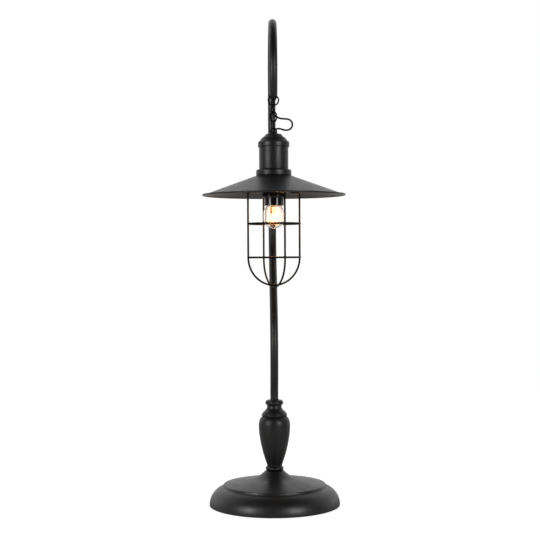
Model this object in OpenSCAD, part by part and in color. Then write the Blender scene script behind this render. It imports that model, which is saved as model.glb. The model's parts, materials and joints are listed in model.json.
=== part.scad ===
// Lantern table lamp. A weighted round base carries a turned column and a swan-neck stem
// that ends in a crook. A caged lantern hangs from the crook on a ring and three chain links.
// Millimetres. +Z is up, -Y is the front, and the origin is the centre of the resting face.

/* [Base] */
// Outer radius of the base
base_r = 104; // [95:0.1:115]
// Radius of the rounded rim
rim_round = 28.9; // [24:0.1:31]
// Height of the widest line of the rim
rim_z = 2; // [1.6:0.1:4]
// Radius of the step between the rim and the sloping top
step_r = 81.5; // [76:0.1:84]
// Height of the step's upper edge
step_z = 33.8; // [32:0.1:36]
// Height of the flat seat at the base's centre
seat_z = 55.2; // [53:0.1:60]
// Radius at the top of the flare
flare_r = 15.3; // [15:0.1:18]
// Radius of the flare's hollow curve
flare_round = 36; // [32:0.1:40]
// Slope of the base's top, in degrees
top_slope = 11.3; // [10:0.1:12.5]
// Wall of the spun base
base_wall = 1.6; // [1.2:0.1:2.2]
// Thickness of the felt pad
felt_t = 2; // [1.5:0.1:3]
// Depth by which the felt stands below the rim
felt_proud = 0.8; // [0.5:0.1:1.2]
// Radius of the iron weight
weight_r = 90; // [80:0.5:92]
// Height of the iron weight at its edge
weight_h = 12; // [8:0.5:14]

/* [Column] */
// Radius of the bead at the column's foot
foot_r = 14.4; // [13.5:0.1:16]
// Height of the foot collar
foot_h = 7.3; // [6:0.1:9]
// Narrowest radius of the vase
vase_neck_r = 12; // [11.5:0.1:13]
// Widest radius of the vase
vase_r = 25; // [23:0.1:28]
// Height of the vase
vase_h = 78.8; // [74:0.1:84]
// Radius of the vase cap's edge
cap_edge_r = 20.5; // [19:0.1:22]
// Height of the vase cap
vase_cap_h = 18; // [16:0.1:20]
// Radius of the vase cap's neck
cap_neck_r = 11.6; // [11:0.1:12.5]
// Outer radius of the neck ring's bead
neck_ring_r = 14.4; // [14:0.1:16]
// Height of the neck ring
neck_ring_h = 8.6; // [8:0.1:10]

/* [Stem] */
// Diameter of the stem tube
stem_d = 12.7; // [12:0.1:13.4]
// Wall of the stem tube
stem_wall = 1.3; // [1:0.1:1.5]
// Angle by which the stem first leans forward
lean_forward = 28; // [20:1:32]
// Angle by which the stem then leans back
lean_back = 42; // [35:1:48]
// Radius of the first bend
foot_bend_r = 50; // [40:1:60]
// Radius of the two long bends
bow_r = 110; // [100:1:120]
// Distance of the upright part of the stem behind the column
neck_back = 94.3; // [92:0.1:110]
// Radius of the crook
crook_r = 79; // [76:0.5:86]
// Angle by which the crook runs on past the vertical
crook_past = 30; // [26:1:33]
// Overall height of the lamp
lamp_h = 775.6; // [740:0.1:800]
// Length of the crook's tapered tip
tip_l = 14.5; // [13.5:0.1:16]
// Radius of the tip's mouth
tip_mouth_r = 2.9; // [2.6:0.1:3.2]

/* [Chain] */
// Radius of the hanging ring, at the middle of its wire
ring_r = 7.9; // [7.5:0.1:8.4]
// Wire diameter of the hanging ring
ring_wire = 2.4; // [2:0.1:2.6]
// Length of a chain link, at the middle of its wire
link_l = 15.2; // [14:0.1:17]
// Half width of a chain link, at the middle of its wire
link_half = 4.6; // [4.3:0.1:4.9]
// Wire diameter of a chain link
link_wire = 2.2; // [2:0.1:2.4]
// Free play between two links
link_play = 0.3; // [0.3:0.05:0.5]

/* [Cup] */
// Height from the cup's top to the middle of the loop's wire
loop_rise = 8.9; // [8.5:0.1:10]
// Radius of the loop's foot
loop_foot_r = 5.6; // [5.3:0.1:5.7]
// Radius of the cup's flat top
cup_top_r = 12.6; // [11.5:0.1:13.4]
// Radius of the band round the cup's cap
cup_band_r = 24.3; // [24:0.1:26]
// Height of the cup's cap
cup_cap_h = 20.4; // [19.5:0.1:22]
// Radius of the cup's straight body
cup_r = 22.7; // [21.5:0.1:22.8]
// Height of the whole cup, down to the shade
cup_h = 64.4; // [60:0.1:70]
// Radius of the flange at the cup's foot
flange_r = 27.4; // [26:0.1:29]
// Height of that flange
flange_h = 10.4; // [9:0.1:12]
// Wall of the spun cup and shade
spun_wall = 1.2; // [1:0.1:1.4]

/* [Shade] */
// Radius of the shade
shade_r = 111.2; // [95:0.1:116]
// Height of the shade
shade_h = 30.4; // [26:0.1:34]
// Width of the flatter lip at the shade's rim
shade_lip = 6; // [4:0.1:8]
// Radius of the shade's rolled edge
shade_bead = 1.3; // [1:0.1:1.6]

/* [Socket and bulb] */
// Radius of the socket body
socket_r = 15.2; // [15:0.1:15.6]
// Length of the socket body that shows below the cage plate
socket_show = 22.7; // [20:0.1:25]
// Radius of the bulb's metal cap
bulb_cap_r = 12.9; // [12.6:0.1:13]
// Length of the bulb's metal cap
bulb_cap_l = 24; // [22:0.5:26]
// Radius of the bulb's glass
bulb_r = 16.2; // [15.5:0.1:18]
// Length of glass below the socket
bulb_show = 36; // [34:0.5:38]
// Wall of the bulb's glass
glass_wall = 0.8; // [0.6:0.1:1.1]

/* [Cage] */
// Radius of the cage's upright wires, at the middle of the wire
cage_r = 43.2; // [41:0.1:46]
// Wire diameter of the cage
cage_wire = 3; // [2.4:0.1:3.4]
// Turn of the cage's wires from the sideways direction, in degrees
cage_turn = 21.3; // [10:0.1:35]
// Depth of the cage plate below the shade's top
plate_drop = 24; // [23:0.1:28]
// Radius of the cage plate
plate_r = 34; // [31:0.1:35]
// Thickness of the cage plate
plate_t = 1.2; // [1:0.1:1.6]
// Depth of the upper cage ring below the plate
cage_upper = 50.5; // [46:0.1:54]
// Distance between the two cage rings
cage_gap = 52.2; // [48:0.1:58]

/* [Cord] */
// Diameter of the cord
cord_d = 2.8; // [2.4:0.1:2.9]

/* [Hidden] */

$fn = 96;
wire_fn = 32;
black = [0.09, 0.09, 0.09];
brass = [0.78, 0.62, 0.32];
zinc = [0.7, 0.7, 0.7];

// Clearances
seat_play = 0.1;     // between a piece and the bore or pocket that it sits in
thread_play = 0.05;  // between two screwed pieces
plug_play = 0.15;    // between the tip's plug and the bent tube
air = 0.3;           // between pieces that move past each other
weld = 0.2;          // depth by which welded wires sink into each other

stem_r = stem_d / 2;
stem_bore_r = stem_r - stem_wall;
rod_r = stem_bore_r - thread_play;
rod_bore_r = rod_r - 1.4;
bore_r = rod_r + 0.2;
nut_h = 7.5;
nut_r = 1.96 * rod_r;
washer_t = 2;
washer_r = 2.8 * rod_r;

// Heights along the column
vase_z = seat_z + foot_h;
vase_cap_z = vase_z + vase_h;
neck_ring_z = vase_cap_z + vase_cap_h;
column_top = neck_ring_z + neck_ring_h;
stem_z = vase_cap_z + 8;
rod_top = stem_z + 12;

// The stem's path: the straight and curved runs of a tube that starts upright
foot_run = column_top + 3.5 - stem_z;
lean_run = (neck_back + foot_bend_r * (1 - cos(lean_forward))
    + bow_r * (cos(lean_back) - cos(lean_forward)) - bow_r * (1 - cos(lean_back)))
    / sin(lean_back);
crook_z = lamp_h - stem_r - crook_r;
upright_z = stem_z + foot_run + foot_bend_r * sin(lean_forward)
    + bow_r * (sin(lean_forward) + 2 * sin(lean_back)) + lean_run * cos(lean_back);
stem_runs = [
    ["straight", foot_run],
    ["forward", foot_bend_r, lean_forward],
    ["back", bow_r, lean_forward + lean_back],
    ["straight", lean_run],
    ["forward", bow_r, lean_back],
    ["straight", crook_z - upright_z],
    ["forward", crook_r, 180 + crook_past]
];
lead_shift = rod_bore_r - cord_d / 2 - air;
seam_l = 1.6;
seam_proud = 0.03;

// The crook's end, and the ring that hangs in its tip
crook_end = [0, neck_back - crook_r - crook_r * cos(crook_past),
    crook_z - crook_r * sin(crook_past)];
ring_drop = 4.3;
ring_shift = 1.05;
hang_y = crook_end[1] + ring_drop * sin(crook_past) - ring_shift * cos(crook_past);
ring_z = crook_end[2] - ring_drop * cos(crook_past) - ring_shift * sin(crook_past) - ring_r;
tip_bore_r = stem_bore_r - 0.75;
tip_hole_r = cord_d / 2 + 0.4;
tip_shoulder = 3;
tip_plug = 4;
eyelet_r = ring_wire / 2 + 1.7;
eyelet_z = ring_z + sqrt(ring_r * ring_r - 5.2 * 5.2);

// The chain, from the ring down to the cup
link_drop = link_l - link_wire - link_play;
link_1_z = ring_z - ring_r + (ring_wire + link_wire) / 2 + link_play;
link_2_z = link_1_z - link_drop;
link_3_z = link_2_z - link_drop;
loop_z = link_3_z - link_drop;
cup_z = loop_z - loop_rise;

// Heights in the lantern, measured down from the cup's top
shade_z = -cup_h;
plate_z = shade_z - plate_drop;
socket_z = plate_z - socket_show;
bulb_z = socket_z - bulb_show;
upper_ring_z = plate_z - cage_upper;
lower_ring_z = upper_ring_z - cage_gap;
cage_ring_r = cage_r - cage_wire + weld;
cup_bore_r = cup_r - spun_wall;
shade_hole_r = socket_r + seat_play;
ring_nut_r = socket_r + 3.1;
ring_nut_h = 10;
stud_r = 4;
stud_l = 32;
socket_cap_z = -28.5;
insulator_z = shade_z - 5;
shell_top_z = insulator_z - 8;
shell_r = bulb_cap_r + air;
shell_wall = 0.5;
bulb_cap_z = shell_top_z - 3.5 - bulb_cap_l;
cord_hole_y = 9.2;
stem_drop = 9;

// The filament's route: down from the stem's tip, zigzag round, and up to the tip again
filament_n = 7;
filament_top = [2.6, -1.6];
filament_foot = [5.4, -17];
filament_route = concat(
    [[-1.2, 0, 0], [-1.2, 0, -0.5], [-1.2, 0, -1]],
    [for (i = [0:2 * filament_n]) let (a = 180 + 360 * (i + 0.5) / (2 * filament_n + 2),
        end = i % 2 == 0 ? filament_foot : filament_top)
        [end[0] * cos(a), end[0] * sin(a), end[1]]],
    [[-1.2, -0.9, -1], [-1.2, -0.9, -0.5], [-1.2, -0.9, 0]]
);

// The cord's route, chosen by hand: out of the crook's tip, down behind the ring, round
// the first link to the front, out in a free loop and back, and down into the cup
cord_route = [
    [0, -51.2, 651.4], [0, -49.5, 649.4], [0, -48, 646.8], [0, -47.1, 643.9], [0, -46.8, 640.9],
    [0, -46, 638.1], [-0.2, -44.6, 635.4], [-0.8, -43.7, 632.7], [-1.7, -43.8, 629.9],
    [-2.6, -45.2, 627.4], [-3.3, -47.4, 625.5], [-3.8, -50, 624.1], [-3.9, -52.6, 622.6],
    [-3.5, -55, 620.8], [-2.4, -56.8, 618.7], [-0.6, -57.8, 616.6], [1.7, -58, 614.6],
    [4.1, -57.5, 612.9], [6.6, -56.8, 611.4], [9.3, -55.9, 610.4], [12.1, -55.1, 609.8],
    [15.1, -54.5, 609.6], [18, -54.1, 609.4], [21, -53.8, 609.2], [23.9, -53.6, 608.4],
    [26.4, -53.3, 606.9], [28.3, -52.9, 604.6], [29.2, -52.4, 601.8], [29, -51.8, 598.9],
    [27.8, -51.1, 596.3], [25.8, -50.4, 594.2], [23.2, -49.5, 593], [20.4, -48.6, 592.6],
    [17.6, -47.5, 592.9], [14.9, -46.4, 593.6], [12.3, -45.3, 594.5], [9.6, -44.2, 595.3],
    [6.8, -43.3, 595.5], [4, -42.8, 594.8], [1.7, -42.6, 592.9], [0.4, -42.7, 590.2],
    [0, -42.7, 587.2], [0, -42.7, 584.2], [0, -42.7, 577.2], [0, -42.7, 570.2], [0, -42.7, 563.2],
    [0, -42.7, 555.2]
];

// Points of an arc round a centre, and of a cubic curve through its two end points
function arc(c, r, a0, a1, n = 12) =
    [for (i = [0:n]) let (a = a0 + (a1 - a0) * i / n) [c[0] + r * cos(a), c[1] + r * sin(a)]];
function curve(p, n = 14) = [for (i = [0:n]) let (t = i / n, u = 1 - t)
    u * u * u * p[0] + 3 * u * u * t * p[1] + 3 * u * t * t * p[2] + t * t * t * p[3]];

module lathe(outline) rotate_extrude() polygon(outline);
module ring(r_out, r_in, h) linear_extrude(h) difference() {
    circle(r = r_out);
    circle(r = r_in);
}
module disc_section(r_out, r_in) difference() {
    circle(r = r_out, $fn = 24);
    if (r_in > 0) circle(r = r_in, $fn = 24);
}

// ---- Base ----

// The base's section, drawn in by a wall thickness w: w = 0 is the outside
function slope_z(r, w) = step_z + (step_r - r) * tan(top_slope) - w / cos(top_slope);
function flare_centre() = let (
    s = tan(top_slope),
    a = slope_z(flare_r, 0) + flare_round / cos(top_slope) - (seat_z - 0.4),
    u = (a * s + sqrt(a * a * s * s - (1 + s * s) * (a * a - flare_round * flare_round)))
        / (1 + s * s)
) [flare_r + u, slope_z(flare_r + u, 0) + flare_round / cos(top_slope)];
function flare(w) = let (c = flare_centre(), r = flare_round + w)
    arc(c, r, 180 + asin((c[1] - seat_z + 0.4 + w) / r), 270 - top_slope);
rim_centre = [base_r - rim_round, rim_z];
function rim(w, a_top) = let (r = rim_round - w)
    arc(rim_centre, r, a_top, asin((felt_proud - rim_z) / r), 20);
ledge = 1.5;
inner_step_r = max(step_r - base_wall, rim_centre[0]);
boss_z = seat_z - base_wall - 0.4;

module base_shell() color(black) difference() {
    lathe(concat(
        [[bore_r, boss_z], [bore_r, seat_z]],
        [[flare_r - 0.4, seat_z]], flare(0),
        [[step_r - 0.8, slope_z(step_r - 0.8, 0)]], arc([step_r - 0.8, step_z - 0.8], 0.8, 80, 0, 4),
        rim(0, acos((step_r + ledge - rim_centre[0]) / rim_round)),
        [for (i = [20:-1:0]) rim(base_wall,
            acos((inner_step_r - rim_centre[0]) / (rim_round - base_wall)))[i]],
        [[inner_step_r, slope_z(inner_step_r, base_wall)]],
        [for (i = [12:-1:0]) flare(base_wall)[i]]
    ));
    translate([0, inlet_y, inlet_z]) rotate([-90, 0, 0])
        cylinder(h = 3 * inlet_l, r = inlet_r + seat_play, center = true, $fn = wire_fn);
}
inlet_r = 4;
inlet_l = 6;
inlet_z = 11;
inlet_y = rim_centre[0] + sqrt(pow(rim_round, 2) - pow(inlet_z - rim_z, 2)) - 2;

module base_weight() color("dimgray") translate([0, 0, felt_t]) lathe([
    [bore_r, nut_h + washer_t + 1], [washer_r + 1, nut_h + washer_t + 1], [washer_r + 1, 0],
    [weight_r - 1, 0], [weight_r, 1], [weight_r, weight_h - 2], [weight_r - 2, weight_h],
    [22, weight_h], [13, weight_h + 9], [11, weight_h + 12],
    [11, boss_z - felt_t], [bore_r, boss_z - felt_t]
]);

module base_felt() color("darkslategray")
    cylinder(h = felt_t, r = rim_centre[0] + sqrt(pow(rim_round - base_wall, 2)
        - pow(rim_z, 2)) - 0.6);

module base_washer() color(zinc) translate([0, 0, felt_t + nut_h + 1])
    ring(washer_r, bore_r, washer_t);

module base_nut() color(zinc) translate([0, 0, felt_t + 1]) difference() {
    cylinder(h = nut_h, r = nut_r, $fn = 6);
    translate([0, 0, -1]) cylinder(h = nut_h + 2, r = rod_r + thread_play);
}

module threaded_rod() color(zinc) translate([0, 0, felt_t + 0.6])
    ring(rod_r, rod_bore_r, rod_top - felt_t - 0.6);

// A snap-in bushing that lets a supply cord out at the back of the rim
module inlet_bushing() color(black) translate([0, inlet_y - 2, inlet_z]) rotate([-90, 0, 0])
    lathe([
        [2.4, 0], [inlet_r, 0], [inlet_r, inlet_l - 1], [inlet_r - 1, inlet_l], [2.8, inlet_l],
        [2.4, inlet_l - 0.4]
    ]);

// ---- Column ----

module foot_collar() color(black) translate([0, 0, seat_z]) lathe(concat(
    [[bore_r, 0], [foot_r - 2, 0]],
    arc([foot_r - foot_h * 0.46, foot_h / 2 + 0.1], foot_h * 0.46, -62, 68),
    [[vase_neck_r, foot_h], [bore_r, foot_h]]
));

module vase() color(black) translate([0, 0, vase_z]) lathe(concat(
    [[bore_r, 0], [vase_neck_r + 0.1, 0]],
    curve([[vase_neck_r, 2], [vase_neck_r + 4.9, 0.19 * vase_h], [vase_r, 0.52 * vase_h],
        [vase_r, 0.83 * vase_h]]),
    curve([[vase_r, 0.84 * vase_h], [vase_r, 0.92 * vase_h],
        [cap_edge_r + 2.3, 0.975 * vase_h], [cap_edge_r - 0.3, vase_h]]),
    [[bore_r, vase_h]]
));

module vase_cap() color(black) translate([0, 0, vase_cap_z]) lathe(concat(
    [[bore_r, 0], [cap_edge_r - 1.2, 0]],
    arc([cap_edge_r - 2, 2.9], 2, -60, 50, 8),
    curve([[cap_edge_r - 1.2, 4.8], [cap_edge_r - 2.4, 0.5 * vase_cap_h],
        [cap_neck_r + 0.6, 0.55 * vase_cap_h], [cap_neck_r, 0.91 * vase_cap_h]]),
    [[cap_neck_r, vase_cap_h], [stem_r + seat_play, vase_cap_h],
        [stem_r + seat_play, stem_z - vase_cap_z], [bore_r, stem_z - vase_cap_z]]
));

module neck_ring() color(black) translate([0, 0, neck_ring_z]) lathe(concat(
    [[stem_r + seat_play, 0], [cap_neck_r - 0.3, 0]],
    arc([neck_ring_r - neck_ring_h / 2 + 0.1, neck_ring_h / 2 + 0.1], neck_ring_h / 2 - 0.1,
        -68, 150, 20),
    [[stem_r + seat_play, neck_ring_h - 2]]
));

// ---- Stem ----

// Sweeps a round section along runs, moved by shift towards the front. A hair-thin band
// round each seam between two runs keeps the whole sweep in one piece.
module sweep_runs(runs, r_out, r_in, shift = 0, i = 0) {
    if (i < len(runs)) {
        run = runs[i];
        if (i > 0) translate([0, -shift, -seam_l / 2]) linear_extrude(seam_l)
            disc_section(r_out + seam_proud, r_in - (r_in > 0 ? seam_proud : 0));
        if (run[0] == "straight") {
            translate([0, -shift, 0]) linear_extrude(run[1]) disc_section(r_out, r_in);
            translate([0, 0, run[1]]) sweep_runs(runs, r_out, r_in, shift, i + 1);
        } else {
            side = run[0] == "forward" ? -1 : 1;
            bend = run[1];
            turn = run[2];
            translate([0, side * bend, 0]) rotate([0, 0, side > 0 ? 180 : 0])
                rotate([90, 0, 90]) rotate_extrude(angle = turn)
                    translate([bend + side * shift, 0]) disc_section(r_out, r_in);
            translate([0, side * bend * (1 - cos(turn)), bend * sin(turn)])
                rotate([-side * turn, 0, 0]) sweep_runs(runs, r_out, r_in, shift, i + 1);
        }
    }
}

module stem() color(black) translate([0, 0, stem_z])
    sweep_runs(stem_runs, stem_r, stem_bore_r);

// The lead inside the stem, lying against the side of the bore
module stem_lead() color("black") translate([0, 0, stem_z])
    sweep_runs(stem_runs, cord_d / 2, 0, lead_shift);

// The crook's tapered tip, with a hole across it for the ring and a mouth for the cord
module crook_tip() color(black) difference() {
    tip_arc_r = (pow(tip_l - tip_shoulder, 2) + pow(stem_r - tip_mouth_r, 2))
        / (2 * (stem_r - tip_mouth_r));
    translate(crook_end) rotate([180 + crook_past, 0, 0]) lathe(concat(
        [[tip_bore_r, -tip_plug], [stem_bore_r - plug_play, -tip_plug],
            [stem_bore_r - plug_play, 0], [stem_r, 0]],
        arc([stem_r - tip_arc_r, tip_shoulder], tip_arc_r, 0,
            asin((tip_l - tip_shoulder) / tip_arc_r)),
        [[tip_hole_r, tip_l], [tip_hole_r, tip_l - 2], [tip_bore_r, 0.55 * tip_l]]
    ));
    translate([0, hang_y, eyelet_z]) rotate([0, 90, 0])
        cylinder(h = 2 * stem_d, r = eyelet_r, center = true);
}

// ---- Chain ----

module hang_ring() color(black) translate([0, hang_y, ring_z]) rotate([90, 0, 0])
    rotate_extrude() translate([ring_r, 0]) circle(d = ring_wire, $fn = wire_fn);

// A round-ended link that hangs down from z = 0, in the plane of X and Z
module chain_link(length, half, wire) {
    for (end = [[-half, 0], [half - length, 180]])
        translate([0, 0, end[0]]) rotate([0, end[1], 0]) rotate([90, 0, 0])
            rotate_extrude(angle = 180) translate([half, 0]) circle(d = wire, $fn = wire_fn);
    for (side = [-1, 1]) translate([side * half, 0, half - length])
        cylinder(h = length - 2 * half, d = wire, $fn = wire_fn);
}
module hung_link(z, turn) color(black) translate([0, hang_y, z]) rotate([0, 0, turn])
    chain_link(link_l, link_half, link_wire);

module chain_link_1() hung_link(link_1_z, 90);
module chain_link_2() hung_link(link_2_z, 0);
module chain_link_3() hung_link(link_3_z, 90);

// ---- Cord ----

// Smooth points along a route, and the round tube that follows them
function spline_point(p0, p1, p2, p3, t) = 0.5 * (2 * p1 + (p2 - p0) * t
    + (2 * p0 - 5 * p1 + 4 * p2 - p3) * t * t + (3 * p1 - p0 - 3 * p2 + p3) * t * t * t);
function smooth(route, steps) = let (last = len(route) - 1) concat(
    [for (i = [0:last - 1], s = [0:steps - 1]) spline_point(route[max(i - 1, 0)], route[i],
        route[i + 1], route[min(i + 2, last)], s / steps)], [route[last]]);
function unit(v) = v / norm(v);
function tangents(p) = let (last = len(p) - 1)
    [for (i = [0:last]) unit(p[min(i + 1, last)] - p[max(i - 1, 0)])];
function carried(t, i, side) = let (flat = side - (side * t[i]) * t[i]) unit(flat);
function sides(t) = [for (i = 0, s = carried(t, 0, [1, 0, 0]); i < len(t);
    i = i + 1, s = i < len(t) ? carried(t, i, s) : s) s];
module tube(route, r, steps, n = 8) {
    p = smooth(route, steps);
    t = tangents(p);
    u = sides(t);
    rings = [for (i = [0:len(p) - 1], k = [0:n - 1]) let (a = 360 * k / n)
        p[i] + r * (cos(a) * u[i] + sin(a) * cross(t[i], u[i]))];
    walls = [for (i = [0:len(p) - 2], k = [0:n - 1]) let (a = i * n + k, b = i * n + (k + 1) % n)
        each [[a, b + n, b], [a, a + n, b + n]]];
    first = [for (k = [1:n - 2]) [0, k, k + 1]];
    last = let (a = (len(p) - 1) * n) [for (k = [1:n - 2]) [a, a + k + 1, a + k]];
    polyhedron(rings, concat(walls, first, last));
}

module lamp_cord() color("black") tube(cord_route, cord_d / 2, 2);

// ---- Cup ----

module in_lantern() translate([0, hang_y, cup_z]) children();

module cup_loop() color(black) in_lantern() {
    foot_h = loop_rise - link_half - 0.6;
    translate([0, 0, loop_rise - link_half]) rotate([90, 0, 0]) rotate_extrude(angle = 180)
        translate([link_half, 0]) circle(d = link_wire, $fn = wire_fn);
    for (side = [-1, 1]) translate([side * link_half, 0, foot_h - 0.5])
        cylinder(h = loop_rise - link_half - foot_h + 0.5, d = link_wire, $fn = wire_fn);
    lathe([[0, 2.4], [stud_r + thread_play, 2.4], [stud_r + thread_play, 0], [loop_foot_r, 0],
        [loop_foot_r, foot_h - 0.6], [loop_foot_r - 0.6, foot_h], [0, foot_h]]);
}

module hanger_stud() color(zinc) in_lantern() translate([0, 0, 2.3 - stud_l])
    cylinder(h = stud_l, r = stud_r);

module loop_nut() color(zinc) in_lantern() translate([0, 0, -spun_wall - 6.5]) difference() {
    cylinder(h = 6.5, r = 1.88 * stud_r, $fn = 6);
    translate([0, 0, -1]) cylinder(h = 9, r = stud_r + thread_play);
}

module cord_grommet() color(black) in_lantern() translate([0, cord_hole_y, 0]) lathe([
    [cord_d / 2 + 0.2, 1], [2.1, 1], [2.4, 0.7], [2.4, 0], [2.2, 0], [2.2, -spun_wall - 0.8],
    [cord_d / 2 + 0.2, -spun_wall - 0.8]
]);

// The cap's outside, drawn in by a wall thickness w
function cap_outline(w) = concat(
    arc([cup_top_r - 1.8, -1.8], 1.8 - w, 90, 40, 6),
    [[cup_top_r + 3 - w, -4.5], [cup_top_r + 4.8 - w, -5.9]],
    arc([cup_top_r + 4.4, -7.2], 1.8 - w, 60, 20, 4),
    [[cup_band_r - 2.3 - w, -11]],
    arc([cup_band_r - 2.6, -13.8], 2.6 - w, 68, 0, 6)
);
body_top = -cup_cap_h + 4;
module cup_cap() color(black) in_lantern() difference() {
    lathe(concat(
        [[stud_r + seat_play, 0]], cap_outline(0),
        arc([cup_band_r - 1, -cup_cap_h + 1], 1, 0, -80, 4),
        [[cup_r + seat_play, -cup_cap_h], [cup_r + seat_play, body_top], [cup_bore_r, body_top]],
        [for (i = [len(cap_outline(0)) - 1:-1:0]) cap_outline(spun_wall)[i]],
        [[stud_r + seat_play, -spun_wall]]
    ));
    translate([0, cord_hole_y, -3]) cylinder(h = 4, r = 2.2 + seat_play, $fn = wire_fn);
}

flange_z = shade_z + flange_h;
module cup_body() color(black) in_lantern() translate([0, 0, flange_z])
    ring(cup_r, cup_bore_r, body_top - flange_z);

module cup_flange() color(black) in_lantern() translate([0, 0, shade_z]) lathe(concat(
    [[shade_hole_r + 2, 0], [flange_r - 0.6, 0], [flange_r, 0.6]],
    arc([flange_r - 2.2, flange_h - 3.4], 2.2, 0, 90, 6),
    [[cup_r + 1, flange_h - 1.1], [cup_r - 0.4, flange_h - 0.6], [cup_r - 0.4, flange_h],
        [cup_bore_r - seat_play, flange_h], [cup_bore_r - seat_play, flange_h + 3],
        [shade_hole_r + 2, flange_h + 3]]
));

// ---- Socket ----

module socket_cap() color(black) in_lantern() difference() {
    translate([0, 0, insulator_z]) lathe([
        [0, 2], [socket_r - 2, 2], [socket_r - 2, 0], [socket_r, 0],
        [socket_r, socket_cap_z - insulator_z - 2], [socket_r - 2, socket_cap_z - insulator_z],
        [7.5, socket_cap_z - insulator_z], [6.5, socket_cap_z - insulator_z + 7],
        [0, socket_cap_z - insulator_z + 7]
    ]);
    translate([0, 0, 2.3 - stud_l - 1]) cylinder(h = stud_l, r = stud_r + thread_play);
    translate([0, cord_hole_y, socket_cap_z - 6]) cylinder(h = 14, r = cord_d / 2 + 0.2,
        $fn = wire_fn);
}

module socket_insulator() color("ivory") in_lantern() difference() {
    translate([0, 0, shell_top_z]) cylinder(h = insulator_z - shell_top_z, r = socket_r - 2.1);
    for (side = [-1, 1]) translate([side * 8, 0, insulator_z - 4])
        cylinder(h = 5, r = 1.5 + thread_play, $fn = wire_fn);
}

module terminal_screws() color(brass) in_lantern() for (side = [-1, 1])
    translate([side * 8, 0, insulator_z - 3.9]) {
        cylinder(h = 4, r = 1.5, $fn = wire_fn);
        translate([0, 0, 4]) cylinder(h = 1.6, r = 2.6, $fn = wire_fn);
    }

// A sprung tongue that the bulb's tip presses on
module centre_contact() color(brass) in_lantern() translate([-2, 0, shell_top_z])
    rotate([90, 0, 0]) linear_extrude(5, center = true) polygon([
        [-4, 0], [-4, -0.6], [1, -0.6], [4.4, -2.4], [6.2, -2.4], [6.2, -2.9], [4.2, -2.9],
        [0.8, -1.1], [-4.5, -1.1], [-4.5, 0]
    ]);

module screw_shell() color(brass) in_lantern() translate([0, 0, bulb_cap_z])
    ring(shell_r + shell_wall, shell_r, shell_top_z - bulb_cap_z);

module socket_body() color([0.05, 0.05, 0.05]) in_lantern() translate([0, 0, socket_z])
    lathe(concat(
        [[shell_r + shell_wall + 0.1, 2], [bulb_neck_r + 0.6, 1.2], [bulb_neck_r + 0.6, 0],
            [socket_r - 0.8, 0]],
        arc([socket_r - 0.8, 0.8], 0.8, -90, 0, 5),
        [[socket_r, insulator_z - socket_z], [shell_r + shell_wall + 0.1, insulator_z - socket_z]]
    ));

// ---- Shade ----

module shade() color(black) in_lantern() translate([0, 0, shade_z]) {
    lip_r = shade_r - shade_bead;
    lip_z = -shade_h + shade_bead;
    fold_r = lip_r - shade_lip;
    fold_z = lip_z + 0.17 * shade_lip;
    t = spun_wall;
    lathe(concat(
        [[shade_hole_r, 0], [flange_r - 0.5, 0], [fold_r, fold_z], [lip_r, lip_z + 0.5]],
        arc([lip_r, lip_z - 0.8], shade_bead, 90, -170, 12),
        [[fold_r, fold_z - t], [flange_r - 0.5, -t], [shade_hole_r, -t]]
    ));
}

module spacer_sleeve() color(black) in_lantern() translate([0, 0, plate_z + plate_t])
    ring(socket_r + 2.4, shade_hole_r, -plate_z - plate_t + shade_z - spun_wall);

module ring_nut() color(black) in_lantern() translate([0, 0, plate_z - ring_nut_h]) lathe([
    [socket_r + thread_play, 0], [ring_nut_r - 0.8, 0], [ring_nut_r, 0.8],
    [ring_nut_r, ring_nut_h - 0.6], [ring_nut_r - 0.4, ring_nut_h],
    [socket_r + thread_play, ring_nut_h]
]);

// ---- Cage ----

module cage_plate() color(black) in_lantern() translate([0, 0, plate_z])
    ring(plate_r, shade_hole_r, plate_t);

// One wire bent to a U with two spokes at its top, below the plate; drop lengthens its legs
module cage_loop(drop) {
    bend = 5;
    spoke_z = plate_z - cage_wire / 2 + weld / 2;
    round_z = lower_ring_z - drop;
    spoke_end = plate_r - 5;
    translate([0, 0, round_z]) rotate([90, 0, 0]) rotate_extrude(angle = 180, start = 180)
        translate([cage_r, 0]) circle(d = cage_wire, $fn = wire_fn);
    for (side = [0, 180]) rotate([0, 0, side]) {
        translate([cage_r, 0, round_z]) cylinder(h = spoke_z - bend - round_z, d = cage_wire,
            $fn = wire_fn);
        translate([cage_r - bend, 0, spoke_z - bend]) rotate([90, 0, 0])
            rotate_extrude(angle = 90) translate([bend, 0]) circle(d = cage_wire, $fn = wire_fn);
        translate([spoke_end, 0, spoke_z]) rotate([0, 90, 0])
            cylinder(h = cage_r - bend - spoke_end, d = cage_wire, $fn = wire_fn);
    }
}
module cage_loop_wide() color(black) in_lantern() rotate([0, 0, cage_turn]) cage_loop(0);
module cage_loop_narrow() color(black) in_lantern() rotate([0, 0, cage_turn + 90])
    cage_loop(cage_wire - weld);

module cage_ring(z) color(black) in_lantern() translate([0, 0, z]) rotate_extrude()
    translate([cage_ring_r, 0]) circle(d = cage_wire, $fn = wire_fn);
module cage_ring_upper() cage_ring(upper_ring_z);
module cage_ring_lower() cage_ring(lower_ring_z);

// ---- Bulb ----

bulb_neck_r = bulb_cap_r - 0.6;
module bulb_cap() color(brass) in_lantern() translate([0, 0, bulb_cap_z]) difference() {
    lathe([[0, 0], [bulb_cap_r, 0], [bulb_cap_r, bulb_cap_l - 4], [5, bulb_cap_l],
        [0, bulb_cap_l]]);
    translate([0, 0, -1]) cylinder(h = bulb_cap_l - 5, r = bulb_cap_r - 0.4);
}

module bulb_contact() color(zinc) in_lantern() translate([0, 0, bulb_cap_z + bulb_cap_l])
    lathe(concat([[0, 0]], arc([0, -1.8], 1.8 + 0.4, 55, 90, 4)));

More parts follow.
